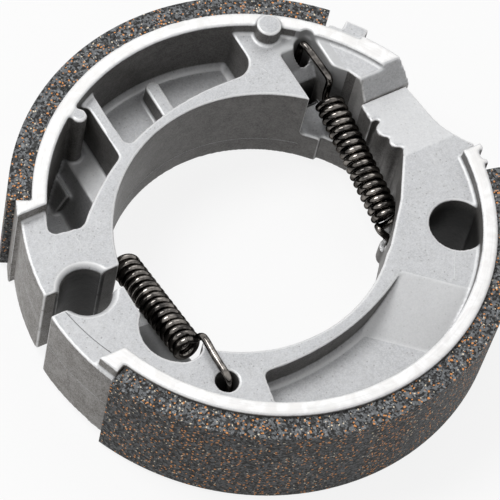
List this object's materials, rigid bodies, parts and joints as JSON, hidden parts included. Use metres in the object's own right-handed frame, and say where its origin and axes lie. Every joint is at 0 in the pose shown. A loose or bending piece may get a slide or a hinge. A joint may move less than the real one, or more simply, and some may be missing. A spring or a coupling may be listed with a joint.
{
  "type": "drum brake shoe set",
  "caption": "Pair of half-round cast drum brake shoes with bonded friction linings, pulled together by tension springs across the anchor and cam ends.",
  "frame": {"origin": "on the drum axis, level with the lower side faces of the shoe tables", "axes": "+Z along the drum axis towards the side seen in the picture, -X through the anchor pin, +Y towards the rear shoe"},
  "size_m": [0.1067, 0.11, 0.029],
  "materials": {
    "casting": "fine cast skin with turned rim faces",
    "lining": "dark friction compound with pale and copper flecks",
    "spring": "dark oiled spring wire"
  },
  "bodies": {
    "rear_shoe": {"rear_casting": "casting", "rear_lining": "lining", "cam_spring": "spring", "pivot_spring": "spring"},
    "front_shoe": {"front_casting": "casting", "front_lining": "lining"}
  },
  "joints": [
    {"name": "front_shoe_swing", "type": "hinge", "parent": "rear_shoe", "child": "front_shoe", "pos_m": [-0.0435, 0, 0.014], "axis": [0, 0, -1], "range_deg": [0, 3.5], "stiffness_Nm_per_rad": 20, "springref_deg": -3.44, "deforming": ["cam_spring", "pivot_spring"]}
  ]
}
